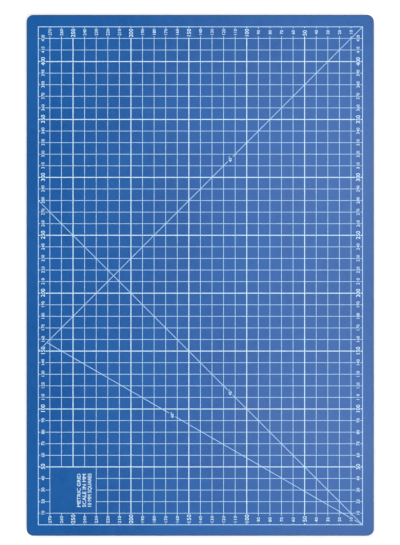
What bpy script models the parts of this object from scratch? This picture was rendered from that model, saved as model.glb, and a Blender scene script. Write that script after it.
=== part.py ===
"""A self-healing cutting mat of A3 class, 450 x 300 x 3 mm, as a five-ply laminate.

The mat is five sheets of vinyl, hot pressed together and then die cut: a soft printed face, a cushion, a
stiff core, a second cushion and a soft back. Each sheet is its own closed solid.

Units are metres and +Z is up. The origin is the centre of the underside. +X runs along the long side, to
the right of the printed scale, and +Y runs across the mat, towards the top of the print.
"""

import bmesh
import bpy

# Overall size of the mat.
MAT_LENGTH = 0.450
MAT_WIDTH = 0.300
MAT_THICKNESS = 0.003
CORNER_RADIUS = 0.006

# Sheets, from the top down. The two cushions share the thickness that the others leave.
FACE_THICKNESS = 0.00070
CORE_THICKNESS = 0.00072
BACK_THICKNESS = 0.00070
CUSHION_COUNT = 2

# The bond line between two sheets, left open so that they stay separate solids.
BOND_GAP = 0.00002
BOND_COUNT = 4

# The die rounds the outer rims of the two skins, and the softer cushions spring back behind the cut.
RIM_RADIUS = 0.00040
CUSHION_SETBACK = 0.00005

# Facets on each rounded corner and on each rounded rim.
CORNER_SEGMENTS = 14
RIM_SEGMENTS = 4

CUSHION_THICKNESS = (
    MAT_THICKNESS - FACE_THICKNESS - CORE_THICKNESS - BACK_THICKNESS - BOND_COUNT * BOND_GAP
) / CUSHION_COUNT

# Linear base colour, roughness and metallic value of each sheet.
SHEET_FINISHES = {
    "face_vinyl": ((0.045, 0.150, 0.400, 1.0), 0.46, 0.0),
    "cushion_vinyl": ((0.030, 0.105, 0.300, 1.0), 0.62, 0.0),
    "core_vinyl": ((0.560, 0.620, 0.680, 1.0), 0.38, 0.0),
    "back_vinyl": ((0.040, 0.135, 0.365, 1.0), 0.52, 0.0),
}


def clear_scene():
    """Remove every object that the start-up scene holds."""
    for thing in list(bpy.data.objects):
        bpy.data.objects.remove(thing, do_unlink=True)


def vinyl(name):
    """Make the Principled material of one kind of sheet."""
    colour, roughness, metallic = SHEET_FINISHES[name]
    material = bpy.data.materials.new(name)
    material.use_nodes = True
    shader = material.node_tree.nodes["Principled BSDF"]
    shader.inputs["Base Color"].default_value = colour
    shader.inputs["Roughness"].default_value = roughness
    shader.inputs["Metallic"].default_value = metallic
    material.diffuse_color = colour
    return material


def is_upright(edge):
    """Tell whether an edge runs along Z."""
    first, second = edge.verts
    return abs(first.co.x - second.co.x) + abs(first.co.y - second.co.y) < abs(first.co.z - second.co.z)


def rim_edges(mesh, height):
    """List the outline edges of the flat face that lies at the given height."""
    flat = [f for f in mesh.faces if abs(f.normal.z) > 0.99 and abs(f.verts[0].co.z - height) < 1e-9]
    return [edge for face in flat for edge in face.edges]


def sheet(name, finish, thickness, setback=0.0, rounded_rim=None):
    """Model one sheet, centred in X and Y with its underside at Z = 0.

    The slab's four upright edges take the corner radius. A skin then takes the rim radius round its
    "top" or "bottom" face. A setback shrinks the outline and its corners by the same distance.
    """
    mesh = bmesh.new()
    bmesh.ops.create_cube(mesh, size=1.0)
    size = (MAT_LENGTH - 2 * setback, MAT_WIDTH - 2 * setback, thickness)
    bmesh.ops.scale(mesh, vec=size, verts=mesh.verts)
    bmesh.ops.translate(mesh, vec=(0.0, 0.0, thickness / 2), verts=mesh.verts)
    bmesh.ops.bevel(
        mesh,
        geom=[edge for edge in mesh.edges if is_upright(edge)],
        offset=CORNER_RADIUS - setback,
        segments=CORNER_SEGMENTS,
        profile=0.5,
        affect="EDGES",
    )
    if rounded_rim:
        mesh.normal_update()
        height = max(v.co.z for v in mesh.verts) if rounded_rim == "top" else min(v.co.z for v in mesh.verts)
        bmesh.ops.bevel(
            mesh,
            geom=rim_edges(mesh, height),
            offset=RIM_RADIUS,
            segments=RIM_SEGMENTS,
            profile=0.5,
            affect="EDGES",
        )
    bmesh.ops.recalc_face_normals(mesh, faces=mesh.faces)
    data = bpy.data.meshes.new(name)
    mesh.to_mesh(data)
    mesh.free()
    data.shade_smooth()
    data.set_sharp_from_angle(angle=0.6)
    data.materials.append(finish)
    made = bpy.data.objects.new(name, data)
    bpy.context.scene.collection.objects.link(made)
    return made


def build_mat():
    """Stack the five sheets from the underside up, one bond line apart."""
    finishes = {name: vinyl(name) for name in SHEET_FINISHES}
    stack = [
        sheet("back_ply", finishes["back_vinyl"], BACK_THICKNESS, rounded_rim="bottom"),
        sheet("lower_cushion_ply", finishes["cushion_vinyl"], CUSHION_THICKNESS, CUSHION_SETBACK),
        sheet("core_ply", finishes["core_vinyl"], CORE_THICKNESS),
        sheet("upper_cushion_ply", finishes["cushion_vinyl"], CUSHION_THICKNESS, CUSHION_SETBACK),
        sheet("face_ply", finishes["face_vinyl"], FACE_THICKNESS, rounded_rim="top"),
    ]
    mat = bpy.data.objects.new("cutting_mat", None)
    bpy.context.scene.collection.objects.link(mat)
    thicknesses = [BACK_THICKNESS, CUSHION_THICKNESS, CORE_THICKNESS, CUSHION_THICKNESS, FACE_THICKNESS]
    height = 0.0
    for ply, thickness in zip(stack, thicknesses):
        ply.parent = mat
        ply.location.z = height
        height += thickness + BOND_GAP


clear_scene()
build_mat()
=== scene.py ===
"""A blue self-healing cutting mat of A3 class, finished around its packed five-ply laminate.

The laminate's five sheets come from the frame and keep their shapes. This script dresses them as embossed
vinyl skins and die-cut plies, and prints the face: a border, a ruling every ten millimetres with a heavier
line every fifty, scale numbers along all four edges, three guide angles and a plain size label. The print is
a thin film of ink with real thickness. Lengths are metres, +X runs along the printed scale and +Z is up.
"""

import logging
import math
from dataclasses import asdict, dataclass, field
from enum import Enum
from functools import lru_cache, reduce
from typing import ClassVar

import bpy
import numpy as np
from mathutils.geometry import delaunay_2d_cdt
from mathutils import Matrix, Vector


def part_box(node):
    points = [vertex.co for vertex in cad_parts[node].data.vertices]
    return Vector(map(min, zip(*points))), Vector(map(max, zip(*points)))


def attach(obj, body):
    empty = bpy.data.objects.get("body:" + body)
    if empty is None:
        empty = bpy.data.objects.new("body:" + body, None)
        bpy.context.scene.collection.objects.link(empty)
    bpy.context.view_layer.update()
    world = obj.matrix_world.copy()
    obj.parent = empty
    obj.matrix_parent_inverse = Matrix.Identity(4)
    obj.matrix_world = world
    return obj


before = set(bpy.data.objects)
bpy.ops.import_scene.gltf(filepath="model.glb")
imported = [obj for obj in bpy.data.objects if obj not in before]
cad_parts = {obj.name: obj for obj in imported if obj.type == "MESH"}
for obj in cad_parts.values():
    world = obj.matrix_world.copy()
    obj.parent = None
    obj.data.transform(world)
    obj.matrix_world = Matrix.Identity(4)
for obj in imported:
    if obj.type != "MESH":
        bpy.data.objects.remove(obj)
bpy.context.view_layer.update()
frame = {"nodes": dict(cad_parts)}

log = logging.getLogger("cutting_mat")

MM = 0.001
BODY = "root"

# How far the middle of the print lies from the middle of the mat.
OFF_CENTRE = (-0.45 * MM, -0.17 * MM)

# The order in which the ink goes on.
RULING_PASS, LETTER_PASS, GUIDE_PASS = range(3)

Numbers = float | np.ndarray
Colour = tuple[float, float, float, float]
Solid = tuple[np.ndarray, np.ndarray]

WHITE: Colour = (1.0, 1.0, 1.0, 1.0)


class Weight(Enum):
    """The two weights that the ruling and its numbers are printed in."""

    ORDINARY = "ordinary"
    HEAVY = "heavy"


class Edge(Enum):
    """The four edges of the print, each of which carries a band of scale numbers."""

    BOTTOM = "bottom"
    TOP = "top"
    LEFT = "left"
    RIGHT = "right"


# ---------------------------------------------------------------------------------------------------------
# Meshes


def mesh_piece(name: str, solid: Solid, finish: bpy.types.Material) -> bpy.types.Object:
    """Make an object at the origin from whole arrays.

    Args:
        name: The piece's name.
        solid: Points (n, 3) in metres and faces (m, 3) or (m, 4) as indices into them.
        finish: Its material.

    Returns:
        The linked object.
    """
    points, faces = solid
    sides = faces.shape[1]
    data = bpy.data.meshes.new(name)
    data.vertices.add(len(points))
    data.vertices.foreach_set("co", points.astype(np.float32).ravel())
    data.loops.add(faces.size)
    data.loops.foreach_set("vertex_index", faces.astype(np.int32).ravel())
    data.polygons.add(len(faces))
    data.polygons.foreach_set("loop_start", np.arange(0, faces.size, sides, dtype=np.int32))
    data.polygons.foreach_set("use_smooth", np.zeros(len(faces), bool))
    data.update(calc_edges=True)
    data.validate()
    data.materials.append(finish)
    piece = bpy.data.objects.new(name, data)
    bpy.context.scene.collection.objects.link(piece)
    return piece


def join_solids(solids: list[Solid]) -> Solid:
    """Put several solids with the same kind of face into one pair of arrays.

    Args:
        solids: The solids to join.

    Returns:
        All their points, and all their faces renumbered to match.
    """
    counts = np.array([len(points) for points, _ in solids])
    starts = np.concatenate([[0], np.cumsum(counts)[:-1]])
    points = np.concatenate([points for points, _ in solids])
    faces = np.concatenate([faces + start for (_, faces), start in zip(solids, starts)])
    return points, faces


@dataclass(frozen=True)
class PrintPlane:
    """The plane of the print, whose own zero is the lower left corner of the ruled border.

    Attributes:
        corner: The zero of the printed scale on the mat.
        level: The height of the mat's face.
        film: How far the ink stands above the face.
        bite: How far the ink reaches into the face, so that no two surfaces share a plane.
        step: How much higher a later pass of ink lies than an earlier one.
    """

    corner: tuple[float, float]
    level: float
    film: float = 0.020 * MM
    bite: float = 0.010 * MM
    step: float = 0.002 * MM

    def heights(self, ink_pass: int) -> tuple[float, float]:
        """Give the lowest and highest level of the ink of one pass."""
        return self.level - self.bite, self.level + self.film + ink_pass * self.step

    def place(self, across: Numbers, along: Numbers) -> tuple[Numbers, Numbers]:
        """Turn distances on the printed scale into positions on the mat."""
        return across + self.corner[0], along + self.corner[1]


def film_over_cells(
    is_open: np.ndarray, columns: np.ndarray, rows: np.ndarray, low: float, high: float
) -> Solid:
    """Raise a film of ink over the open cells of a stencil.

    The film is the graph of a height over a grid of two parameters, the column lines and the row lines: high
    over an open cell and nothing over a closed one. An open cell gets a top and an underside, and a wall
    stands wherever an open cell meets a closed one.

    Args:
        is_open: Which cells are open, shaped (columns - 1, rows - 1).
        columns: Positions of the grid's column lines.
        rows: Positions of the grid's row lines.
        low: Level of the film's underside.
        high: Level of the film's top.

    Returns:
        The film as points and four-sided faces.
    """
    grid_x, grid_y = np.meshgrid(columns, rows, indexing="ij")
    layer = np.stack([grid_x.ravel(), grid_y.ravel()], axis=1)
    points = np.concatenate([np.c_[layer, np.full(len(layer), level)] for level in (low, high)])
    under = np.arange(len(layer)).reshape(grid_x.shape)
    over = under + len(layer)
    i, j = np.nonzero(is_open)
    tops = np.stack([over[i, j], over[i + 1, j], over[i + 1, j + 1], over[i, j + 1]], axis=1)
    sides = [tops, (tops - len(layer))[:, ::-1]]
    cells = np.pad(is_open, 1).astype(int)
    # Each says where cells open or close, the step to a wall's other end, and the turn of its corners.
    on_columns = (np.diff(cells[:, 1:-1], axis=0), 0, 1, 1)
    on_rows = (np.diff(cells[1:-1], axis=1), 1, 0, -1)
    for change, step_i, step_j, turn in (on_columns, on_rows):
        for opens in (1, -1):
            i, j = np.nonzero(change == opens)
            here, there = (i, j), (i + step_i, j + step_j)
            wall = np.stack([under[here], over[here], over[there], under[there]], axis=1)
            sides.append(wall[:, :: turn * opens])
    used, faces = np.unique(np.concatenate(sides), return_inverse=True)
    return points[used], faces.reshape(-1, 4)


def ribbons(starts: np.ndarray, ends: np.ndarray, width: float, low: float, high: float) -> Solid:
    """Carry a flat rectangular profile of ink along straight paths.

    Each path's four side lines are its centre line moved half the width to the left and to the right, on
    both levels, and the ends are cut square.

    Args:
        starts: First point of each path, (n, 2).
        ends: Last point of each path, (n, 2).
        width: Width of the profile.
        low: Level of the profile's underside.
        high: Level of its top.

    Returns:
        The ribbons as points and four-sided faces.
    """
    along = ends - starts
    left = np.stack([-along[:, 1], along[:, 0]], 1) / np.linalg.norm(along, axis=1, keepdims=True)
    left *= width / 2
    ring = np.stack([starts + left, starts - left, ends - left, ends + left], 1)
    points = np.concatenate([np.insert(ring, 2, level, axis=2) for level in (low, high)], axis=1)
    box = np.array([[4, 5, 6, 7], [3, 2, 1, 0], [0, 1, 5, 4], [1, 2, 6, 5], [2, 3, 7, 6], [3, 0, 4, 7]])
    faces = box + points.shape[1] * np.arange(len(ring))[:, None, None]
    return points.reshape(-1, 3), faces.reshape(-1, 4)


@dataclass(frozen=True)
class Lettering:
    """Printed characters of one size and weight.

    Attributes:
        body: Height of the type's body, of which a figure takes about seven tenths.
        spread: How far the outline is thickened, as a share of the body.
        smoothness: Points on each curve of an outline.
        figure_height: Height of a figure as a share of the body.
        tolerance: How near two points of an outline may be, as a share of the body, and still be two.
    """

    body: float
    spread: float = 0.0
    smoothness: int = 2
    figure_height: float = 0.682
    tolerance: float = 1e-5

    def outline(self, text: str) -> tuple[np.ndarray, np.ndarray]:
        """Read the outline of one line of characters, on a body of one, as directed edges.

        The type is drawn out to a wall without caps. Each face of the wall starts with an edge along one
        level, and the edges of one level, in the order of their faces, run round the characters one way and
        round the holes in them the other way.

        Args:
            text: The characters.

        Returns:
            First and last point of each edge, both (n, 2).
        """
        curve = bpy.data.curves.new("lettering", "FONT")
        curve.body = text
        curve.offset = self.spread
        curve.resolution_u = self.smoothness
        curve.extrude = 0.5
        curve.fill_mode = "NONE"
        curve.align_x = "CENTER"
        holder = bpy.data.objects.new("lettering", curve)
        bpy.context.scene.collection.objects.link(holder)
        bpy.context.view_layer.update()
        data = bpy.data.meshes.new_from_object(holder.evaluated_get(bpy.context.evaluated_depsgraph_get()))
        points = np.empty(len(data.vertices) * 3, np.float32)
        data.vertices.foreach_get("co", points)
        walls = np.empty(len(data.loops), np.int32)
        data.loops.foreach_get("vertex_index", walls)
        bpy.data.objects.remove(holder)
        bpy.data.curves.remove(curve)
        bpy.data.meshes.remove(data)
        points = points.reshape(-1, 3).astype(float)
        walls = walls.reshape(-1, 4)
        sides = np.stack([walls, np.roll(walls, -1, axis=1)], axis=2).reshape(-1, 2)
        upper = (points[sides[:, 0], 2] > 0) & (points[sides[:, 1], 2] > 0)
        return points[sides[upper, 0], :2], points[sides[upper, 1], :2]

    @staticmethod
    def turns(at: np.ndarray, starts: np.ndarray, ends: np.ndarray) -> np.ndarray:
        """Count how often an outline winds round each of some points.

        The count is the number of edges that pass to the point's right on their way up, less the number of
        those that pass there on their way down.

        Args:
            at: The points, (m, 2).
            starts: First point of each edge of the outline, (n, 2).
            ends: Last point of each edge, (n, 2).

        Returns:
            The count at each point, (m,).
        """
        rise = ends[:, 1] - starts[:, 1]
        share = (at[:, 1:] - starts[:, 1]) / np.where(rise == 0, 1.0, rise)
        passed = (share >= 0) & (share < 1) & (rise != 0)
        to_right = starts[:, 0] + share * (ends[:, 0] - starts[:, 0]) > at[:, :1]
        return (np.sign(rise) * (passed & to_right)).sum(axis=1)

    @lru_cache(maxsize=None)
    def cut(self, text: str) -> Solid:
        """Cut one line of characters as a solid, centred on its own middle, one unit thick about zero.

        The outline is triangulated with its edges kept. The triangles that it winds round are inside the
        characters. They are the two caps, and a wall stands on each of their edges that no second triangle
        shares.

        Args:
            text: The characters.

        Returns:
            The closed characters as points and triangles.
        """
        starts, ends = self.outline(text)
        corners = np.concatenate([starts, ends])
        pairs = np.arange(len(corners)).reshape(2, -1).T
        found = delaunay_2d_cdt(corners.tolist(), pairs.tolist(), [], 0, self.tolerance)
        flat = np.array(found[0])
        caps = np.array(found[2])
        first, second, third = flat[caps[:, 0]], flat[caps[:, 1]], flat[caps[:, 2]]
        one, other = second - first, third - first
        area = one[:, 0] * other[:, 1] - one[:, 1] * other[:, 0]
        caps = np.where(area[:, None] < 0, caps[:, ::-1], caps)
        inside = self.turns((first + second + third) / 3, starts, ends) != 0
        caps = caps[inside & (np.abs(area) > self.tolerance**2)]
        sides = np.concatenate([caps[:, [0, 1]], caps[:, [1, 2]], caps[:, [2, 0]]])
        lone = ~np.isin(sides[:, 0] * len(flat) + sides[:, 1], sides[:, 1] * len(flat) + sides[:, 0])
        here, there = sides[lone].T
        lift = len(flat)
        walls = [np.stack([here, there, there + lift], 1), np.stack([here, there + lift, here + lift], 1)]
        faces = np.concatenate([caps + lift, caps[:, ::-1], *walls])
        flat[:, 1] -= self.figure_height / 2
        points = np.concatenate([np.c_[flat * self.body, np.full(lift, level)] for level in (-0.5, 0.5)])
        used, faces = np.unique(faces, return_inverse=True)
        return points[used], faces.reshape(-1, 3)

    def width(self, text: str) -> float:
        """Measure one line of characters."""
        return float(np.ptp(self.cut(text)[0][:, 0]))

    def set_line(
        self, text: str, centre: tuple[float, float], low: float, high: float, stretch: float = 1.0
    ) -> Solid:
        """Set one line of characters on the mat.

        Args:
            text: The characters.
            centre: Where the line's middle goes.
            low: Level of the ink's underside.
            high: Level of its top.
            stretch: How far the line is drawn out along X.

        Returns:
            The line as points and triangles.
        """
        points, faces = self.cut(text)
        points = points.copy()
        points[:, 0] = points[:, 0] * stretch + centre[0]
        points[:, 1] += centre[1]
        points[:, 2] = np.where(points[:, 2] > 0, high, low)
        return points, faces


# ---------------------------------------------------------------------------------------------------------
# Node groups and finishes


class Wiring:
    """Short calls that add nodes to one tree and link them."""

    def __init__(self, tree: bpy.types.NodeTree) -> None:
        """Keep the tree to wire."""
        self.tree = tree

    def add(self, kind: str, **settings: object) -> bpy.types.Node:
        """Add a node and set its own options."""
        node = self.tree.nodes.new(kind)
        for name, value in settings.items():
            setattr(node, name, value)
        return node

    def feed(self, socket: bpy.types.NodeSocket, value: object) -> None:
        """Link a socket to an output, or set it to a constant."""
        if isinstance(value, bpy.types.NodeSocket):
            self.tree.links.new(value, socket)
        else:
            socket.default_value = value

    def fill(self, node: bpy.types.Node, given: dict[str | int, object]) -> bpy.types.Node:
        """Feed several sockets of a node, by their names or numbers."""
        for key, value in given.items():
            self.feed(node.inputs[key], value)
        return node

    def maths(self, operation: str, *values: object) -> bpy.types.NodeSocket:
        """Work out one number from up to three."""
        node = self.add("ShaderNodeMath", operation=operation)
        return self.fill(node, dict(enumerate(values))).outputs[0]

    def product(self, *values: object) -> bpy.types.NodeSocket:
        """Multiply any number of numbers."""
        return reduce(lambda one, other: self.maths("MULTIPLY", one, other), values)

    def total(self, *values: object) -> bpy.types.NodeSocket:
        """Add any number of numbers."""
        return reduce(lambda one, other: self.maths("ADD", one, other), values)

    def vectors(self, operation: str, *values: object, output: str = "Vector") -> bpy.types.NodeSocket:
        """Work out one vector, or the number named by output, from up to three vectors."""
        node = self.add("ShaderNodeVectorMath", operation=operation)
        return self.fill(node, dict(enumerate(values))).outputs[output]

    def combine(self, x: object, y: object) -> bpy.types.NodeSocket:
        """Make a vector of two numbers, with nothing along Z."""
        return self.fill(self.add("ShaderNodeCombineXYZ"), {"X": x, "Y": y}).outputs[0]

    def split(self, vector: object) -> bpy.types.bpy_prop_collection:
        """Take a vector apart into its three numbers."""
        return self.fill(self.add("ShaderNodeSeparateXYZ"), {0: vector}).outputs

    def ramp(
        self, value: object, low: object, high: object, to_low: float = 0.0, to_high: float = 1.0
    ) -> bpy.types.NodeSocket:
        """Carry a number smoothly from one range to another, holding it at both ends."""
        given = {"Value": value, "From Min": low, "From Max": high, "To Min": to_low, "To Max": to_high}
        node = self.add("ShaderNodeMapRange", interpolation_type="SMOOTHSTEP")
        return self.fill(node, given).outputs["Result"]

    def noise(
        self, place: object, scale: object, detail: float, roughness: float = 0.5
    ) -> bpy.types.NodeSocket:
        """Give cloudy noise between nothing and one."""
        given = {"Vector": place, "Scale": scale, "Detail": detail, "Roughness": roughness}
        return self.fill(self.add("ShaderNodeTexNoise"), given).outputs["Fac"]

    def blend(self, share: object, first: object, second: object) -> bpy.types.NodeSocket:
        """Mix two colours by a share."""
        node = self.add("ShaderNodeMix", data_type="RGBA")
        return self.fill(node, {"Factor": share, 6: first, 7: second}).outputs[2]


class Effect(Enum):
    """The surface effects that several finishes share, each built once as a node group."""

    PEBBLE = "pebble_grain"
    DRIFT = "colour_drift"
    RIM = "outline_band"
    STREAKS = "die_cut_streaks"
    PINHOLES = "ink_pinholes"


def open_group(effect: Effect, inputs: dict[str, float], outputs: list[str]) -> tuple[Wiring, dict, dict]:
    """Start a node group with number inputs, one position input and number outputs.

    Args:
        effect: Which effect the group is.
        inputs: Name and default of each number input.
        outputs: Name of each output.

    Returns:
        The group's wiring, its inputs by name and its output sockets by name.
    """
    tree = bpy.data.node_groups.new(effect.value, "ShaderNodeTree")
    tree.interface.new_socket("Position", in_out="INPUT", socket_type="NodeSocketVector")
    for name, default in inputs.items():
        socket = tree.interface.new_socket(name, in_out="INPUT", socket_type="NodeSocketFloat")
        socket.default_value = default
    for name in outputs:
        tree.interface.new_socket(name, in_out="OUTPUT", socket_type="NodeSocketFloat")
    wiring = Wiring(tree)
    entry = wiring.add("NodeGroupInput")
    leave = wiring.add("NodeGroupOutput")
    return wiring, {s.name: s for s in entry.outputs}, {s.name: s for s in leave.inputs}


def build_pebble_grain() -> bpy.types.NodeTree:
    """Build the embossed grain of rolled vinyl: rounded pebbles with fine wrinkles over them.

    Returns:
        A group that gives the surface height and a mask of the low places.
    """
    crown, pit = 0.15, 0.75
    wrinkles_per_pebble = 2.2
    wrinkle_height = 0.35
    w, given, result = open_group(Effect.PEBBLE, {"Pebble Size": 0.45 * MM}, ["Height", "Hollows"])
    place = given["Position"]
    scale = w.maths("DIVIDE", 1.0, given["Pebble Size"])
    cells = w.add("ShaderNodeTexVoronoi", feature="SMOOTH_F1")
    w.fill(cells, {"Vector": place, "Scale": scale, "Smoothness": 0.55, "Randomness": 1.0})
    hollow = w.ramp(cells.outputs["Distance"], crown, pit)
    wrinkles = w.noise(place, w.product(scale, wrinkles_per_pebble), detail=3.0)
    pebbles = w.maths("SUBTRACT", 1.0, hollow)
    w.feed(result["Height"], w.total(pebbles, w.product(wrinkles, wrinkle_height)))
    w.feed(result["Hollows"], hollow)
    return w.tree


def build_colour_drift() -> bpy.types.NodeTree:
    """Build the slow, cloudy unevenness of calendered vinyl, over hands' breadths and over fingers' breadths.

    Returns:
        A group that gives a share between nothing and one.
    """
    deepest, lightest = 0.32, 0.68
    narrow_per_broad = 9.0
    narrow_share = 0.35
    w, given, result = open_group(Effect.DRIFT, {"Patch Size": 90 * MM}, ["Share"])
    scale = w.maths("DIVIDE", 1.0, given["Patch Size"])
    broad = w.noise(given["Position"], scale, detail=2.0)
    narrow = w.noise(given["Position"], w.product(scale, narrow_per_broad), detail=4.0)
    mixed = w.total(w.product(broad, 1.0 - narrow_share), w.product(narrow, narrow_share))
    w.feed(result["Share"], w.ramp(mixed, deepest, lightest))
    return w.tree


def build_outline_band() -> bpy.types.NodeTree:
    """Build the band along the mat's outline.

    The distance in from a rounded rectangle is the corner radius, less the length of the part of the
    position that lies beyond the corner centres, less the larger overshoot where that part is negative.

    Returns:
        A group that gives one at the outline, falling to nothing over the band's width.
    """
    sizes = {"Half Length": 225 * MM, "Half Width": 150 * MM, "Corner Radius": 6 * MM, "Band Width": 1.2 * MM}
    w, given, result = open_group(Effect.RIM, sizes, ["Band"])
    radius = given["Corner Radius"]
    half_x = w.maths("SUBTRACT", given["Half Length"], radius)
    half_y = w.maths("SUBTRACT", given["Half Width"], radius)
    beyond = w.vectors("SUBTRACT", w.vectors("ABSOLUTE", given["Position"]), w.combine(half_x, half_y))
    x, y, _ = w.split(beyond)
    flat = w.combine(w.maths("MAXIMUM", x, 0.0), w.maths("MAXIMUM", y, 0.0))
    outside = w.vectors("LENGTH", flat, output="Value")
    inside = w.maths("MINIMUM", w.maths("MAXIMUM", x, y), 0.0)
    distance = w.maths("SUBTRACT", radius, w.total(outside, inside))
    w.feed(result["Band"], w.ramp(distance, 0.0, given["Band Width"], to_low=1.0, to_high=0.0))
    return w.tree


def build_die_cut_streaks() -> bpy.types.NodeTree:
    """Build the upright scuffs that a cutting die leaves on an edge: noise drawn out along Z.

    Returns:
        A group that gives the height of the scuffs.
    """
    draw_out = (1.0, 1.0, 0.12)
    w, given, result = open_group(Effect.STREAKS, {"Streak Width": 0.25 * MM}, ["Height"])
    drawn = w.vectors("MULTIPLY", given["Position"], draw_out)
    scale = w.maths("DIVIDE", 1.0, given["Streak Width"])
    w.feed(result["Height"], w.noise(drawn, scale, detail=4.0, roughness=0.6))
    return w.tree


def build_ink_pinholes() -> bpy.types.NodeTree:
    """Build the tiny gaps and thin places of screen-printed ink over an embossed face.

    Returns:
        A group that gives one where the ink is missing and a share of it where it is thin.
    """
    thin, missing = 0.66, 0.84
    patches_per_hole = 0.015
    patch_share = 0.18
    w, given, result = open_group(Effect.PINHOLES, {"Hole Size": 0.12 * MM}, ["Thinness"])
    scale = w.maths("DIVIDE", 1.0, given["Hole Size"])
    holes = w.noise(given["Position"], scale, detail=2.0)
    patches = w.noise(given["Position"], w.product(scale, patches_per_hole), detail=2.0)
    mixed = w.total(holes, w.product(patches, patch_share))
    w.feed(result["Thinness"], w.ramp(mixed, thin, missing))
    return w.tree


BUILDERS = {
    Effect.PEBBLE: build_pebble_grain,
    Effect.DRIFT: build_colour_drift,
    Effect.RIM: build_outline_band,
    Effect.STREAKS: build_die_cut_streaks,
    Effect.PINHOLES: build_ink_pinholes,
}


@lru_cache(maxsize=None)
def effect_group(effect: Effect) -> bpy.types.NodeTree:
    """Give an effect's node group, built the first time that it is asked for."""
    return BUILDERS[effect]()


class Surface(Wiring):
    """A new material whose one Principled shader is ready to be fed."""

    def __init__(self, name: str) -> None:
        """Make the material and find its shader and the piece's own coordinates."""
        self.material = bpy.data.materials.new(name)
        self.material.use_nodes = True
        super().__init__(self.material.node_tree)
        self.shader = self.tree.nodes["Principled BSDF"]
        self.position = self.add("ShaderNodeTexCoord").outputs["Object"]

    def effect(self, effect: Effect, **sizes: float) -> dict[str, bpy.types.NodeSocket]:
        """Place an effect with its own sizes, given with underscores for spaces.

        Args:
            effect: Which effect.
            sizes: Values of the group's number inputs.

        Returns:
            The effect's outputs by name.
        """
        given = {name.replace("_", " ").title(): value for name, value in sizes.items()}
        node = self.add("ShaderNodeGroup", node_tree=effect_group(effect))
        self.fill(node, {"Position": self.position, **given})
        return {s.name: s for s in node.outputs}

    def bump(self, height: object, depth: float, under: object = None) -> bpy.types.NodeSocket:
        """Lay relief of a given depth over the shader's normal, or over another relief."""
        node = self.fill(self.add("ShaderNodeBump"), {"Height": height, "Distance": depth})
        if under is not None:
            self.feed(node.inputs["Normal"], under)
        return node.outputs["Normal"]

    def set(self, **values: object) -> None:
        """Feed the shader's sockets, named with underscores for spaces."""
        for name, value in values.items():
            self.feed(self.shader.inputs[name.replace("_", " ").title().replace("Ior", "IOR")], value)


@dataclass(frozen=True)
class Outline:
    """The outline of the mat, as its finishes need it."""

    half_length: float
    half_width: float
    corner_radius: float


@dataclass(frozen=True)
class SkinFinish:
    """Embossed vinyl of one of the two outer skins.

    Attributes:
        name: The material's name.
        outline: The mat's outline, which the band of painted shade follows.
        deep: Colour of the deeper patches.
        light: Colour of the lighter patches.
        hollow: Colour that the low places of the grain tend to, a painted shade in the grain's hollows.
        rim: Colour of the painted shade along the outline, which stands in for the rounded edge's shading.
        hollow_share: How far the lowest places take the hollow colour, which paints shade into them.
        pebble_size: Width of one pebble of the grain.
        pebble_depth: Depth of the grain.
        roughness: Lowest and highest roughness.
        rim_width: Width of the band of painted shade along the outline.
        cut_width: Width of the narrower band that the die has scuffed.
        cut_roughness: How much rougher the scuffed band is.
        scuff_depth: Depth of the scuffs.
        gloss: Strength of the reflection at normal incidence, where a half is plain vinyl's.
    """

    name: str
    outline: Outline
    deep: Colour
    light: Colour
    hollow: Colour
    rim: Colour
    hollow_share: float = 0.35
    pebble_size: float = 0.45 * MM
    pebble_depth: float = 0.012 * MM
    roughness: tuple[float, float] = (0.26, 0.32)
    rim_width: float = 2.4 * MM
    cut_width: float = 0.48 * MM
    cut_roughness: float = 0.2
    scuff_depth: float = 0.05 * MM
    gloss: float = 0.4

    def build(self) -> bpy.types.Material:
        """Wire the finish and return its material."""
        s = Surface(self.name)
        drift = s.effect(Effect.DRIFT)["Share"]
        grain = s.effect(Effect.PEBBLE, pebble_size=self.pebble_size)
        streaks = s.effect(Effect.STREAKS)["Height"]
        outline = asdict(self.outline)
        # Painted shade: the outline band darkens the colour towards the rim colour, in place of the edge's
        # shading.
        band = s.effect(Effect.RIM, **outline, band_width=self.rim_width)["Band"]
        cut = s.effect(Effect.RIM, **outline, band_width=self.cut_width)["Band"]
        colour = s.blend(drift, self.deep, self.light)
        # Painted shade: the grain's low places are darkened towards the hollow colour.
        colour = s.blend(s.product(grain["Hollows"], self.hollow_share), colour, self.hollow)
        satin = s.ramp(s.total(drift, grain["Hollows"]), 0.0, 2.0, *self.roughness)
        relief = s.bump(grain["Height"], self.pebble_depth)
        s.set(
            base_color=s.blend(band, colour, self.rim),
            roughness=s.total(satin, s.product(cut, self.cut_roughness)),
            normal=s.bump(s.product(streaks, cut), self.scuff_depth, relief),
            specular_ior_level=self.gloss,
        )
        return s.material


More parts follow.
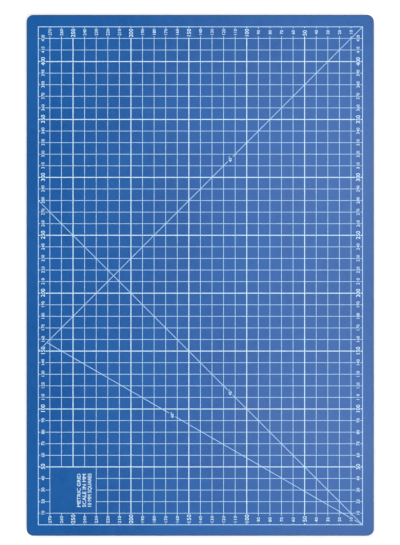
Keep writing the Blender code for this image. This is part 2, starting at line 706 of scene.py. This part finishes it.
@dataclass(frozen=True)
class CutPlyFinish:
    """The die-cut edge of a sheet inside the laminate.

    Attributes:
        name: The material's name.
        dark: Colour in the scuffs.
        light: Colour between them.
        roughness: Lowest and highest roughness.
        scuff_depth: Depth of the die's scuffs.
        patch_size: Breadth of the cloudy patches.
        patch_share: How far the patches shift the colour.
        colour_range: Heights of the scuffs at which the colour is fully dark and fully light.
        rough_range: Heights of the scuffs at which the edge is roughest and smoothest.
    """

    name: str
    dark: Colour
    light: Colour
    roughness: tuple[float, float] = (0.5, 0.75)
    scuff_depth: float = 0.06 * MM
    patch_size: float = 25 * MM
    patch_share: float = 0.2
    colour_range: tuple[float, float] = (0.35, 0.8)
    rough_range: tuple[float, float] = (0.3, 0.7)

    def build(self) -> bpy.types.Material:
        """Wire the finish and return its material."""
        s = Surface(self.name)
        streaks = s.effect(Effect.STREAKS)["Height"]
        drift = s.effect(Effect.DRIFT, patch_size=self.patch_size)["Share"]
        shade = s.total(streaks, s.product(drift, self.patch_share))
        s.set(
            base_color=s.blend(s.ramp(shade, *self.colour_range), self.dark, self.light),
            roughness=s.ramp(streaks, *self.rough_range, *self.roughness[::-1]),
            normal=s.bump(streaks, self.scuff_depth),
        )
        return s.material


@dataclass(frozen=True)
class InkFinish:
    """Screen-printed ink on embossed vinyl.

    Attributes:
        name: The material's name.
        full: Colour where the ink is full.
        thin: Colour where it is thin and the vinyl shows through.
        roughness: Lowest and highest roughness.
        pebble_size: Width of the vinyl's pebbles, which the film follows.
        pebble_depth: How deep they still read through the film.
    """

    name: str
    full: Colour
    thin: Colour
    roughness: tuple[float, float] = (0.36, 0.5)
    pebble_size: float = 0.45 * MM
    pebble_depth: float = 0.006 * MM

    def build(self) -> bpy.types.Material:
        """Wire the finish and return its material."""
        s = Surface(self.name)
        thinness = s.effect(Effect.PINHOLES)["Thinness"]
        grain = s.effect(Effect.PEBBLE, pebble_size=self.pebble_size)
        s.set(
            base_color=s.blend(thinness, self.full, self.thin),
            roughness=s.ramp(grain["Hollows"], 0.0, 1.0, *self.roughness),
            normal=s.bump(grain["Height"], self.pebble_depth),
        )
        return s.material


# ---------------------------------------------------------------------------------------------------------
# The laminate


@dataclass
class Laminate:
    """The five pressed sheets, which keep their own shapes and take their finishes here.

    Attributes:
        corner_radius: Radius of the mat's corners.
        nodes: The sheets' objects by the names of their nodes.
    """

    corner_radius: float = 6 * MM
    nodes: dict[str, bpy.types.Object] = field(default_factory=lambda: frame["nodes"])

    def outline(self) -> Outline:
        """Read the mat's outline from the core sheet."""
        low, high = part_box("core_ply")
        return Outline((high.x - low.x) / 2, (high.y - low.y) / 2, self.corner_radius)

    def face_level(self) -> float:
        """Give the height of the printed face."""
        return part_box("face_ply")[1].z

    def finishes(self) -> dict[str, bpy.types.Material]:
        """Build the finish of each sheet, by the name of its node."""
        outline = self.outline()
        face = SkinFinish(
            "printed_face_vinyl",
            outline,
            deep=(0.0018, 0.096, 0.330, 1.0),
            light=(0.0030, 0.114, 0.374, 1.0),
            # The hollow colour paints shade into the grain's low places; the rim colour paints shade along
            # the outline.
            hollow=(0.0012, 0.082, 0.290, 1.0),
            rim=(0.032, 0.094, 0.175, 1.0),
        ).build()
        back = SkinFinish(
            "plain_back_vinyl",
            outline,
            deep=(0.0030, 0.095, 0.318, 1.0),
            light=(0.0045, 0.113, 0.362, 1.0),
            # The hollow colour paints shade into the grain's low places; the rim colour paints shade along
            # the outline.
            hollow=(0.0025, 0.080, 0.275, 1.0),
            rim=(0.030, 0.090, 0.220, 1.0),
            pebble_size=0.7 * MM,
            pebble_depth=0.03 * MM,
            roughness=(0.46, 0.58),
        ).build()
        cushion = CutPlyFinish(
            "cushion_ply_vinyl", dark=(0.012, 0.060, 0.190, 1.0), light=(0.028, 0.105, 0.290, 1.0)
        ).build()
        core = CutPlyFinish(
            "core_ply_vinyl",
            dark=(0.40, 0.46, 0.52, 1.0),
            light=(0.62, 0.68, 0.73, 1.0),
            roughness=(0.38, 0.55),
        ).build()
        return {
            "face_ply": face,
            "upper_cushion_ply": cushion,
            "core_ply": core,
            "lower_cushion_ply": cushion,
            "back_ply": back,
        }

    def dress(self) -> None:
        """Give every sheet its finish."""
        for name, finish in self.finishes().items():
            sheet = self.nodes[name]
            sheet.data.materials.clear()
            sheet.data.materials.append(finish)
            log.info("dressed %s with %s", name, finish.name)


# ---------------------------------------------------------------------------------------------------------
# The print


@dataclass(frozen=True)
class Spacing:
    """Where things lie in a band of numbers, measured inwards from the border.

    Attributes:
        centre: Middle of the number.
        tick: End of the short tick that joins the border.
        resume: Where the ruling line starts again behind a number of three figures.
        aside: How far the number sits off its line, along the edge.
        figure: How much earlier the line starts again for each figure that a number has fewer.
        stretch: How far the number is drawn out.
    """

    centre: float
    tick: float
    resume: float
    aside: float
    figure: float = 0.0
    stretch: float = 1.0


@dataclass(frozen=True)
class Scale:
    """The printed scale: its extent, its pitch, and how its numbers are spaced along each edge.

    Attributes:
        length: Extent along X.
        height: Extent along Y.
        pitch: Distance between two ruled lines.
        heavy_every: Which of the lines are heavy.
        label: Lower and upper corner of the field that the size label keeps clear.
        digits: Most figures that a number has.
        spacings: Where things lie in each band of numbers, by its edge and the numbers' weight.
    """

    length: float = 430 * MM
    height: float = 280 * MM
    pitch: float = 10 * MM
    heavy_every: int = 5
    label: tuple[tuple[float, float], tuple[float, float]] = ((10 * MM, 230 * MM), (50 * MM, 270 * MM))
    digits: int = 3

    spacings: ClassVar[dict[tuple[Edge, Weight], Spacing]] = {
        (Edge.BOTTOM, Weight.ORDINARY): Spacing(3.90 * MM, 1.9 * MM, 5.8 * MM, 0.10 * MM),
        (Edge.BOTTOM, Weight.HEAVY): Spacing(3.85 * MM, 1.6 * MM, 6.1 * MM, 0.10 * MM),
        (Edge.TOP, Weight.ORDINARY): Spacing(4.05 * MM, 1.9 * MM, 5.95 * MM, 0.25 * MM),
        (Edge.TOP, Weight.HEAVY): Spacing(4.05 * MM, 1.8 * MM, 6.3 * MM, 0.30 * MM),
        (Edge.LEFT, Weight.ORDINARY): Spacing(4.50 * MM, 1.1 * MM, 7.5 * MM, -0.12 * MM, 0.0, 1.08),
        (Edge.LEFT, Weight.HEAVY): Spacing(5.00 * MM, 1.2 * MM, 9.4 * MM, -0.15 * MM, 1.3 * MM, 1.08),
        (Edge.RIGHT, Weight.ORDINARY): Spacing(4.65 * MM, 1.5 * MM, 7.9 * MM, -0.12 * MM),
        (Edge.RIGHT, Weight.HEAVY): Spacing(5.35 * MM, 0.9 * MM, 9.4 * MM, -0.12 * MM, 1.1 * MM),
    }

    def steps(self, extent: float) -> range:
        """Number the lines inside an extent, leaving out the border at both ends."""
        return range(1, round(extent / self.pitch))

    def weight(self, step: int) -> Weight:
        """Tell how heavy a line and its number are."""
        return Weight.ORDINARY if step % self.heavy_every else Weight.HEAVY

    def extent_under(self, edge: Edge) -> float:
        """Give the extent along which an edge's numbers run."""
        return self.length if edge in (Edge.BOTTOM, Edge.TOP) else self.height

    def number(self, step: int) -> str:
        """Give the number that stands at a line."""
        return str(round(step * self.pitch / MM))

    def number_centre(self, edge: Edge, step: int) -> tuple[float, float]:
        """Give the middle of one number on the printed scale."""
        spacing = self.spacings[edge, self.weight(step)]
        along = step * self.pitch + spacing.aside
        return {
            Edge.BOTTOM: (along, spacing.centre),
            Edge.TOP: (along, self.height - spacing.centre),
            Edge.LEFT: (spacing.centre, along),
            Edge.RIGHT: (self.length - spacing.centre, along),
        }[edge]

    def runs(self, step: int, upright: bool) -> list[tuple[float, float]]:
        """List the printed stretches of one ruled line, from one border to the other.

        A line is a tick at each border and one long run between its two numbers, which the label's field
        cuts in two.

        Args:
            step: Number of the line.
            upright: Whether it runs along Y.

        Returns:
            Start and end of each stretch.
        """
        first, last = (Edge.BOTTOM, Edge.TOP) if upright else (Edge.LEFT, Edge.RIGHT)
        extent = self.height if upright else self.length
        near = self.spacings[first, self.weight(step)]
        far = self.spacings[last, self.weight(step)]
        fewer = self.digits - len(self.number(step))
        start = near.resume - fewer * near.figure
        end = extent - far.resume + fewer * far.figure
        along = step * self.pitch
        axis = 0 if upright else 1
        low, high = self.label
        stretches = [(start, end)]
        if low[axis] + self.pitch / 2 < along < high[axis] - self.pitch / 2:
            stretches = [(start, low[1 - axis]), (high[1 - axis], end)]
        return [(0.0, near.tick), *stretches, (extent - far.tick, extent)]


@dataclass(frozen=True)
class Inks:
    """The two deposits of the one white ink: a thin one in fine strokes, and a full one in broad strokes.

    Attributes:
        fine: Material of the border, the ordinary lines and the guides.
        full: Material of the heavy lines and all characters.
    """

    fine: bpy.types.Material
    full: bpy.types.Material

    @classmethod
    def mix(cls) -> "Inks":
        """Build both deposits, the full one whiter than the thin."""
        fine = InkFinish("thin_printed_ink", full=(0.51, 0.79, 1.00, 1.0), thin=(0.16, 0.33, 0.62, 1.0))
        full = InkFinish("full_printed_ink", full=(0.66, 0.93, 1.00, 1.0), thin=(0.26, 0.45, 0.72, 1.0))
        return cls(fine.build(), full.build())


@dataclass
class PrintPart:
    """What every part of the print is made with.

    Attributes:
        scale: The printed scale.
        plane: The plane of the print.
        inks: The ink's two deposits.
    """

    scale: Scale
    plane: PrintPlane
    inks: Inks

    def characters(
        self, lettering: Lettering, text: str, centre: tuple[float, float], stretch: float = 1.0
    ) -> Solid:
        """Set one line of characters with its middle at a place on the printed scale."""
        return lettering.set_line(text, self.plane.place(*centre), *self.plane.heights(LETTER_PASS), stretch)


@dataclass
class Ruling(PrintPart):
    """The border and the ruled lines, cut as one stencil so that crossing lines share one film of ink.

    Attributes:
        line: Width of an ordinary line.
        heavy_line: Width of a heavy line.
        border_line: Width of the border.
    """

    line: float = 0.44 * MM
    heavy_line: float = 0.73 * MM
    border_line: float = 0.61 * MM

    def bars(self, weight: Weight) -> np.ndarray:
        """List the bars of all lines of one weight.

        Args:
            weight: Which lines.

        Returns:
            One row for each bar: lowest and highest X, then lowest and highest Y.
        """
        half = (self.line if weight is Weight.ORDINARY else self.heavy_line) / 2
        rows = []
        for upright, extent in ((True, self.scale.length), (False, self.scale.height)):
            for step in self.scale.steps(extent):
                if self.scale.weight(step) is not weight:
                    continue
                centre = step * self.scale.pitch
                for start, end in self.scale.runs(step, upright):
                    across = (centre - half, centre + half)
                    rows.append((*across, start, end) if upright else (start, end, *across))
        return np.array(rows)

    def border_bars(self) -> np.ndarray:
        """List the four bars of the border, as rows like those of the lines."""
        half = self.border_line / 2
        length, height = self.scale.length, self.scale.height
        return np.array(
            [
                (-half, length + half, -half, half),
                (-half, length + half, height - half, height + half),
                (-half, half, -half, height + half),
                (length - half, length + half, -half, height + half),
            ]
        )

    def build(self) -> list[bpy.types.Object]:
        """Cut the stencil for all three widths on one shared grid, and print each cell once.

        Returns:
            The border, the heavy lines and the ordinary lines.
        """
        stencils = {
            "printed_border": (self.border_bars(), self.inks.fine),
            "heavy_ruling": (self.bars(Weight.HEAVY), self.inks.full),
            "ordinary_ruling": (self.bars(Weight.ORDINARY), self.inks.fine),
        }
        every = np.concatenate([bars for bars, _ in stencils.values()]).round(9)
        columns = np.unique(every[:, :2])
        rows = np.unique(every[:, 2:])
        middle_x = (columns[1:] + columns[:-1]) / 2
        middle_y = (rows[1:] + rows[:-1]) / 2
        across, along = self.plane.place(columns, rows)
        low, high = self.plane.heights(RULING_PASS)
        free = np.ones((len(middle_x), len(middle_y)), bool)
        made = []
        for name, (bars, ink) in stencils.items():
            in_x = (middle_x > bars[:, :1]) & (middle_x < bars[:, 1:2])
            in_y = (middle_y > bars[:, 2:3]) & (middle_y < bars[:, 3:])
            covered = np.einsum("ni,nj->ij", in_x.astype(int), in_y.astype(int)) > 0
            film = film_over_cells(covered & free, across, along, low, high)
            made.append(mesh_piece(name, film, ink))
            free &= ~covered
        return made


@dataclass
class ScaleNumbers(PrintPart):
    """The numbers along all four edges, in steps of ten, with every fifty in a larger, bolder size.

    Attributes:
        ordinary: Lettering of the ordinary numbers.
        heavy: Lettering of the fifties.
    """

    ordinary: Lettering = Lettering(body=3.85 * MM, spread=0.007, smoothness=2)
    heavy: Lettering = Lettering(body=4.9 * MM, spread=0.010, smoothness=3)

    def band(self, edge: Edge, weight: Weight) -> bpy.types.Object:
        """Set all numbers of one weight along one edge.

        Args:
            edge: Which edge.
            weight: Which numbers.

        Returns:
            The numbers as one piece.
        """
        ordinary = weight is Weight.ORDINARY
        name, lettering = ("numbers", self.ordinary) if ordinary else ("fifties", self.heavy)
        stretch = self.scale.spacings[edge, weight].stretch
        lines = []
        for step in self.scale.steps(self.scale.extent_under(edge)):
            if self.scale.weight(step) is weight:
                centre = self.scale.number_centre(edge, step)
                lines.append(self.characters(lettering, self.scale.number(step), centre, stretch))
        return mesh_piece(f"{name}_{edge.value}", join_solids(lines), self.inks.full)

    def build(self) -> list[bpy.types.Object]:
        """Set both weights along all four edges."""
        return [self.band(edge, weight) for edge in Edge for weight in Weight]


@dataclass(frozen=True)
class Guide:
    """One guide line at an angle, with its printed value set into a gap.

    Attributes:
        name: The piece's name.
        degrees: The angle's value, as it is printed.
        start: First point on the printed scale.
        heading: Direction in degrees, anticlockwise from +X.
        reach: Length of the line.
        value_at: Distance along the line of its printed value.
        breaks: Further gaps, each with its start and end along the line.
    """

    name: str
    degrees: int
    start: tuple[float, float]
    heading: float
    reach: float
    value_at: float
    breaks: tuple[tuple[float, float], ...] = ()


@dataclass
class GuideAngles(PrintPart):
    """The two diagonals at 45 degrees and the steep line at 60, with their values.

    Attributes:
        line: Width of a guide line.
        value_gap: Length of the gap that a value sits in.
        value_heights: Height of the values on the rising and on the falling diagonal.
        steep_value_at: Distance of the value along the steep line.
        lettering: Lettering of the values.
    """

    line: float = 0.46 * MM
    value_gap: float = 6.2 * MM
    value_heights: tuple[float, float] = (114.3 * MM, 114.2 * MM)
    steep_value_at: float = 189.8 * MM
    lettering: Lettering = Lettering(body=3.6 * MM, spread=0.014, smoothness=2)

    def guides(self) -> list[Guide]:
        """Lay out the three guides between the border's corners and where they end.

        The diagonals run from the two lower corners to the top border. The steep line leaves the same corner
        as the rising diagonal, and ends on the falling one: with slope s it meets the line whose X and Y add
        up to the scale's length at X = length / (1 + s). A line broken further makes way for a number.

        Returns:
            The guides.
        """
        stretch = math.sqrt(2)
        diagonal = self.scale.height * stretch
        rising, falling = self.value_heights
        even, steep = 45, 60
        slope = math.radians(steep)
        meet = self.scale.length / (1 + math.tan(slope))
        return [
            Guide(
                name="guide_45_rising",
                degrees=even,
                start=(0.0, 0.0),
                heading=even,
                reach=diagonal,
                value_at=rising * stretch,
                breaks=((391.4 * MM, 392.7 * MM),),
            ),
            Guide(
                name="guide_45_falling",
                degrees=even,
                start=(self.scale.length, 0.0),
                heading=180 - even,
                reach=diagonal,
                value_at=falling * stretch,
                breaks=((389.7 * MM, 394.0 * MM),),
            ),
            Guide(
                name="guide_60",
                degrees=steep,
                start=(0.0, 0.0),
                heading=steep,
                reach=meet / math.cos(slope),
                value_at=self.steep_value_at,
                breaks=((8.5 * MM, 13.0 * MM),),
            ),
        ]

    def line_of(self, guide: Guide) -> bpy.types.Object:
        """Print one guide line with its gaps.

        Args:
            guide: Which guide.

        Returns:
            The line as one piece.
        """
        half = self.value_gap / 2
        gaps = sorted([(guide.value_at - half, guide.value_at + half), *guide.breaks])
        stops = np.array([0.0, *[edge for gap in gaps for edge in gap], guide.reach]).reshape(-1, 2)
        turn = math.radians(guide.heading)
        heading = np.array([math.cos(turn), math.sin(turn)])
        points = np.array(guide.start) + stops[..., None] * heading + np.array(self.plane.corner)
        low, high = self.plane.heights(GUIDE_PASS)
        ribbon = ribbons(points[:, 0], points[:, 1], self.line, low, high)
        return mesh_piece(guide.name, ribbon, self.inks.fine)

    def value_of(self, guide: Guide) -> bpy.types.Object:
        """Print one guide's value upright in its gap.

        Args:
            guide: Which guide.

        Returns:
            The value as one piece.
        """
        turn = math.radians(guide.heading)
        x = guide.start[0] + guide.value_at * math.cos(turn)
        y = guide.start[1] + guide.value_at * math.sin(turn)
        value = self.characters(self.lettering, f"{guide.degrees}°", (x, y))
        return mesh_piece(f"{guide.name}_value", value, self.inks.full)

    def build(self) -> list[bpy.types.Object]:
        """Print every guide line and its value."""
        return [make(guide) for guide in self.guides() for make in (self.line_of, self.value_of)]


@dataclass
class SizeLabel(PrintPart):
    """Three plain lines that say what the ruling is.

    Attributes:
        lines: The text of each line and the height of its middle on the printed scale.
        left: Where the lines start.
        right: Where they end.
        lettering: Lettering of the label.
    """

    lines: tuple[tuple[str, float], ...] = (
        ("METRIC GRID", 245.0 * MM),
        ("SCALE IN MM", 240.3 * MM),
        ("10 MM SQUARES", 235.7 * MM),
    )
    left: float = 15.4 * MM
    right: float = 44.0 * MM
    lettering: Lettering = Lettering(body=4.4 * MM, spread=0.013, smoothness=3)

    def build(self) -> list[bpy.types.Object]:
        """Set the three lines to one width."""
        middle = (self.left + self.right) / 2
        made = []
        for number, (text, height) in enumerate(self.lines, start=1):
            stretch = (self.right - self.left) / self.lettering.width(text)
            line = self.characters(self.lettering, text, (middle, height), stretch)
            made.append(mesh_piece(f"label_line_{number}", line, self.inks.full))
        return made


# ---------------------------------------------------------------------------------------------------------
# Studio


@dataclass
class Studio:
    """A plain white table in a soft light tent, with two softboxes overhead, off to one side of the camera.

    Attributes:
        level: Height of the mat's face above the table.
        outline: The mat's outline, under which the table is open.
        view_length: Length on the mat's face that the picture's long side takes in.
        lens: The camera's focal length in millimetres.
        sensor: The camera's sensor along the picture's long side, in millimetres.
        aim: What the middle of the picture looks at.
        far: How far the camera sees.
        table_size: Side of the square table.
        table_lap: How far the table reaches in under the mat.
        table_drop: How far the table lies below the mat.
        table_colour: The table's colour.
        table_roughness: Its roughness.
        table_gloss: Strength of its reflection.
        table_glow: Brightness that it has of its own.
        tent: Brightness of the tent's lit band, on average round the compass.
        band_foot: Heights between which the band sets in, where one is straight up.
        band_head: Heights between which it fades out.
        sided: Share of the band's light that comes from its bright diagonal.
        extra_below: How much brighter the band is below the table, as a share.
        dim: Brightness of the rest of the tent.
        backdrop: Brightness of the tent as the camera sees it.
        softbox_radiance: Brightness of the softboxes.
        softbox_colour: Their colour.
        softbox_size: Their size along X and Y.
        softbox_places: Where their middles hang.
    """

    level: float
    outline: Outline
    view_length: float = 470.6 * MM
    lens: float = 120.0
    sensor: float = 36.0
    aim: tuple[float, float] = (2.4 * MM, 0.2 * MM)
    far: float = 50.0
    table_size: float = 12.0
    table_lap: float = 1 * MM
    table_drop: float = 0.02 * MM
    table_colour: Colour = (0.90, 0.90, 0.90, 1.0)
    table_roughness: float = 0.9
    table_gloss: float = 0.1
    table_glow: float = 0.30
    tent: float = 2.0
    band_foot: tuple[float, float] = (0.25, 0.40)
    band_head: tuple[float, float] = (0.62, 0.78)
    sided: float = 0.8
    extra_below: float = 0.5
    dim: float = 0.02
    backdrop: float = 1.0
    softbox_radiance: float = 9.6
    softbox_colour: tuple[float, float, float] = (0.95, 0.97, 1.30)
    softbox_size: tuple[float, float] = (0.28, 0.56)
    softbox_places: tuple[tuple[float, float, float], ...] = ((0.26, -0.34, 2.0), (-0.34, -0.34, 2.0))

    def camera(self) -> bpy.types.Object:
        """Hang the camera straight over the mat, with the long side of the mat upright in the picture."""
        data = bpy.data.cameras.new("overhead_camera")
        data.lens = self.lens
        data.sensor_width = self.sensor
        data.clip_end = self.far
        camera = bpy.data.objects.new("overhead_camera", data)
        camera.location = (*self.aim, self.level + self.view_length * self.lens / self.sensor)
        camera.rotation_euler = (0.0, 0.0, -math.pi / 2)
        bpy.context.scene.collection.objects.link(camera)
        bpy.context.scene.camera = camera
        return camera

    def table(self) -> bpy.types.Object:
        """Lay the white table, which can't be seen from below.

        It is a flat ring: the corners of a square and of an opening just inside the mat's outline, each with
        the same four signs, and one face between each two neighbouring pairs. The opening lets light reach
        the mat's underside.

        Returns:
            The table.
        """
        signs = np.array([(-1.0, -1.0), (1.0, -1.0), (1.0, 1.0), (-1.0, 1.0)])
        opening = np.array([self.outline.half_length, self.outline.half_width]) - self.table_lap
        flat = np.concatenate([signs * self.table_size / 2, signs * opening])
        corners = np.c_[flat, np.full(len(flat), -self.table_drop)]
        side = np.arange(4)
        after = np.roll(side, -1)
        sides = np.stack([side, after, after + 4, side + 4], axis=1)
        s = Surface("white_table_top")
        s.set(base_color=self.table_colour, roughness=self.table_roughness)
        s.set(specular_ior_level=self.table_gloss, emission_color=WHITE, emission_strength=self.table_glow)
        back = s.add("ShaderNodeNewGeometry").outputs["Backfacing"]
        clear = s.add("ShaderNodeBsdfTransparent").outputs[0]
        mix = s.fill(s.add("ShaderNodeMixShader"), {0: back, 1: s.shader.outputs[0], 2: clear})
        s.fill(s.tree.nodes["Material Output"], {"Surface": mix.outputs[0]})
        table = mesh_piece("white_table", (corners, sides), s.material)
        return table

    def light_tent(self) -> None:
        """Surround the table with a band of soft light, dark overhead and near the horizon.

        Round the compass the band is brightest on one diagonal and weakest on the other: its lit share is pi
        times the sine of twice the bearing, where that is positive, which keeps the light on the table the
        same at any share. Below the table the band is repeated, and brighter, for the mat's underside.
        """
        world = bpy.data.worlds.new("light_tent")
        world.use_nodes = True
        bpy.context.scene.world = world
        w = Wiring(world.node_tree)
        x, y, z = w.split(w.add("ShaderNodeTexCoord").outputs["Generated"])
        height = w.maths("ABSOLUTE", z)
        below = w.product(w.maths("LESS_THAN", z, 0.0), self.extra_below)
        rise = w.ramp(height, *self.band_foot)
        fall = w.ramp(height, *self.band_head, to_low=1.0, to_high=0.0)
        flat = w.total(w.product(x, x), w.product(y, y))
        sine = w.maths("DIVIDE", w.product(x, y, 2.0), flat)
        lobes = w.product(w.maths("MAXIMUM", sine, 0.0), math.pi * self.sided)
        round_share = w.total(lobes, 1.0 - self.sided)
        band = w.product(rise, fall, self.tent, round_share, w.total(below, 1.0))
        lit = w.total(band, self.dim)
        seen = w.add("ShaderNodeLightPath").outputs["Is Camera Ray"]
        mix = w.fill(w.add("ShaderNodeMix", data_type="FLOAT"), {0: seen, 2: lit, 3: self.backdrop})
        w.fill(w.tree.nodes["Background"], {"Color": WHITE, "Strength": mix.outputs[0]})

    def softbox(self, number: int, place: tuple[float, float, float]) -> bpy.types.Object:
        """Hang one softbox, facing straight down.

        Args:
            number: Which softbox it is.
            place: Where its middle hangs.

        Returns:
            The light.
        """
        length, width = self.softbox_size
        name = f"softbox_{number}"
        data = bpy.data.lights.new(name, "AREA")
        data.shape = "RECTANGLE"
        data.size = length
        data.size_y = width
        data.energy = self.softbox_radiance * math.pi * length * width
        data.color = self.softbox_colour
        box = bpy.data.objects.new(name, data)
        box.location = place
        box.visible_camera = False
        bpy.context.scene.collection.objects.link(box)
        return box

    def build(self) -> None:
        """Set up the table, the lights and the camera."""
        self.table()
        self.light_tent()
        for number, place in enumerate(self.softbox_places, start=1):
            self.softbox(number, place)
        self.camera()
        bpy.context.scene.view_settings.view_transform = "Standard"


# ---------------------------------------------------------------------------------------------------------


def main() -> None:
    """Dress the laminate, print its face a little off centre, and set up the studio."""
    logging.basicConfig(level=logging.INFO, format="%(name)s: %(message)s")
    laminate = Laminate()
    laminate.dress()
    outline = laminate.outline()
    scale = Scale()
    corner = (OFF_CENTRE[0] - scale.length / 2, OFF_CENTRE[1] - scale.height / 2)
    plane = PrintPlane(corner, laminate.face_level())
    inks = Inks.mix()
    for part in (Ruling, ScaleNumbers, GuideAngles, SizeLabel):
        for piece in part(scale, plane, inks).build():
            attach(piece, BODY)
            log.info("printed %s: %d faces", piece.name, len(piece.data.polygons))
    Studio(laminate.face_level(), outline).build()
    log.info("mat outline %.1f x %.1f mm", 2 * outline.half_length / MM, 2 * outline.half_width / MM)


if __name__ == "__main__":
    main()
